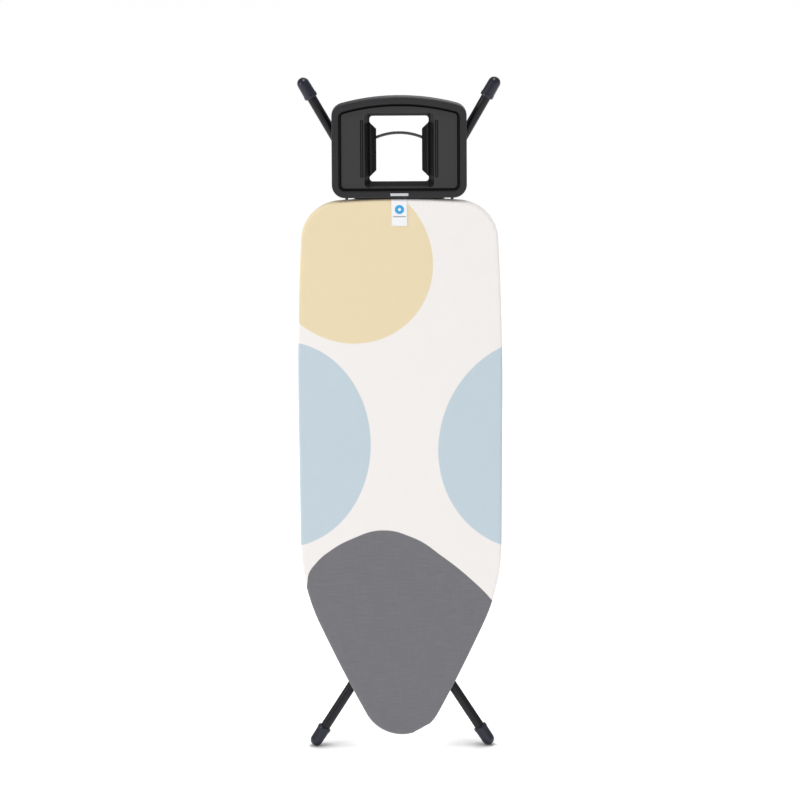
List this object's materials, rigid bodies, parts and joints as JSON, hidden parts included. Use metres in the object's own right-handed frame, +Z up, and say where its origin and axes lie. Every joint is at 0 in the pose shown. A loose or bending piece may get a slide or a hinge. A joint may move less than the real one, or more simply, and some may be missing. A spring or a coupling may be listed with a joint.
{
  "type": "ironing board",
  "caption": "Folding ironing board with scissor legs, a padded mesh top under a printed cotton cover, a notched height rack with lever, and an iron rest, stored folded upright.",
  "frame": {"origin": "centre of the bounding box's bottom face: on the floor midway between the two lower feet, folded board upright", "axes": "+Z up along the folded board towards the iron rest, +X to the right across the board seen from the ironing face, +Y from the ironing face towards the legs"},
  "size_m": [0.4582, 0.06, 1.5465],
  "materials": {
    "cover_cloth": "printed cotton",
    "label_cloth": "woven label",
    "felt": "needled felt",
    "foam": "open-cell foam",
    "elastic": "braided elastic",
    "mesh_steel": "powder-coated",
    "frame_steel": "satin black powder coat",
    "leg_steel": "satin black powder coat",
    "zinc_steel": "zinc-plated",
    "foot_plastic": "fine-textured",
    "plug_plastic": "moulded",
    "nylon": "moulded nylon",
    "rest_plastic": "heat-resistant, fine texture",
    "rest_rubber": "silicone",
    "badge_plastic": "plain bar",
    "lever_plastic": "moulded"
  },
  "bodies": {
    "board": {"ironing_mesh": "mesh_steel", "rim_frame": "mesh_steel", "beam_left": "frame_steel", "beam_right": "frame_steel", "hinge_crossmember": "frame_steel", "lower_rack_crossmember": "frame_steel", "upper_rack_crossmember": "frame_steel", "hinge_bracket_left": "frame_steel", "hinge_bracket_right": "frame_steel", "hinge_pins": "zinc_steel", "height_rack": "frame_steel", "frame_rivets": "zinc_steel", "felt_layer": "felt", "foam_pad": "foam", "cover": "cover_cloth", "hem_elastic": "elastic", "cover_label": "label_cloth", "iron_rest": "rest_plastic", "rest_strip_left": "rest_rubber", "rest_strip_right": "rest_rubber", "rest_grip_left": "rest_plastic", "rest_grip_right": "rest_plastic", "rest_badge": "badge_plastic", "rest_buffer": "rest_rubber", "rest_hoop": "leg_steel", "hoop_saddles": "frame_steel", "rest_clips": "plug_plastic", "rest_screws": "zinc_steel", "lever_spring": "zinc_steel", "hook_bracket": "plug_plastic", "hook_pin": "zinc_steel"},
    "outer_legs": {"outer_leg_tube_left": "leg_steel", "outer_leg_tube_right": "leg_steel", "outer_leg_foot_left": "foot_plastic", "outer_leg_foot_right": "foot_plastic", "outer_leg_spreader": "leg_steel", "outer_leg_bushes": "nylon", "outer_leg_plugs": "plug_plastic", "crossing_bolts": "zinc_steel", "crossing_nuts": "zinc_steel", "crossing_washers": "zinc_steel", "crossing_spacers": "nylon"},
    "inner_legs": {"inner_leg_tube_left": "leg_steel", "inner_leg_tube_right": "leg_steel", "inner_leg_foot_left": "foot_plastic", "inner_leg_foot_right": "foot_plastic", "inner_leg_spreader": "leg_steel", "inner_leg_bushes": "nylon", "inner_leg_plugs": "plug_plastic", "sliding_bar": "zinc_steel", "bar_rollers": "nylon"},
    "height_lever": {"lever_shaft": "zinc_steel", "lever_fin": "frame_steel", "lever_paddle": "lever_plastic"},
    "transport_hook": {"transport_hook": "plug_plastic"}
  },
  "joints": [
    {"name": "leg_fold", "type": "hinge", "parent": "board", "child": "outer_legs", "pos_m": [0, 0.015, 0.366], "axis": [-1, 0, 0], "range_deg": [0, 52]},
    {"name": "leg_crossing", "type": "hinge", "parent": "outer_legs", "child": "inner_legs", "pos_m": [0, 0.015, 0.77325], "axis": [-1, 0, 0], "range_deg": [-104, 0]},
    {"name": "height_lever_squeeze", "type": "hinge", "parent": "board", "child": "height_lever", "pos_m": [0, -0.0009, 1.22], "axis": [0, 0, -1], "range_deg": [0, 14], "stiffness_Nm_per_rad": 0.1, "springref_deg": -28.65},
    {"name": "transport_hook_swing", "type": "hinge", "parent": "board", "child": "transport_hook", "pos_m": [0.11, -0.001, 0.57], "axis": [0, 0, 1], "range_deg": [0, 90]}
  ],
  "couplings": [
    {"joint": "leg_crossing", "follows": "leg_fold", "ratio": -2}
  ]
}
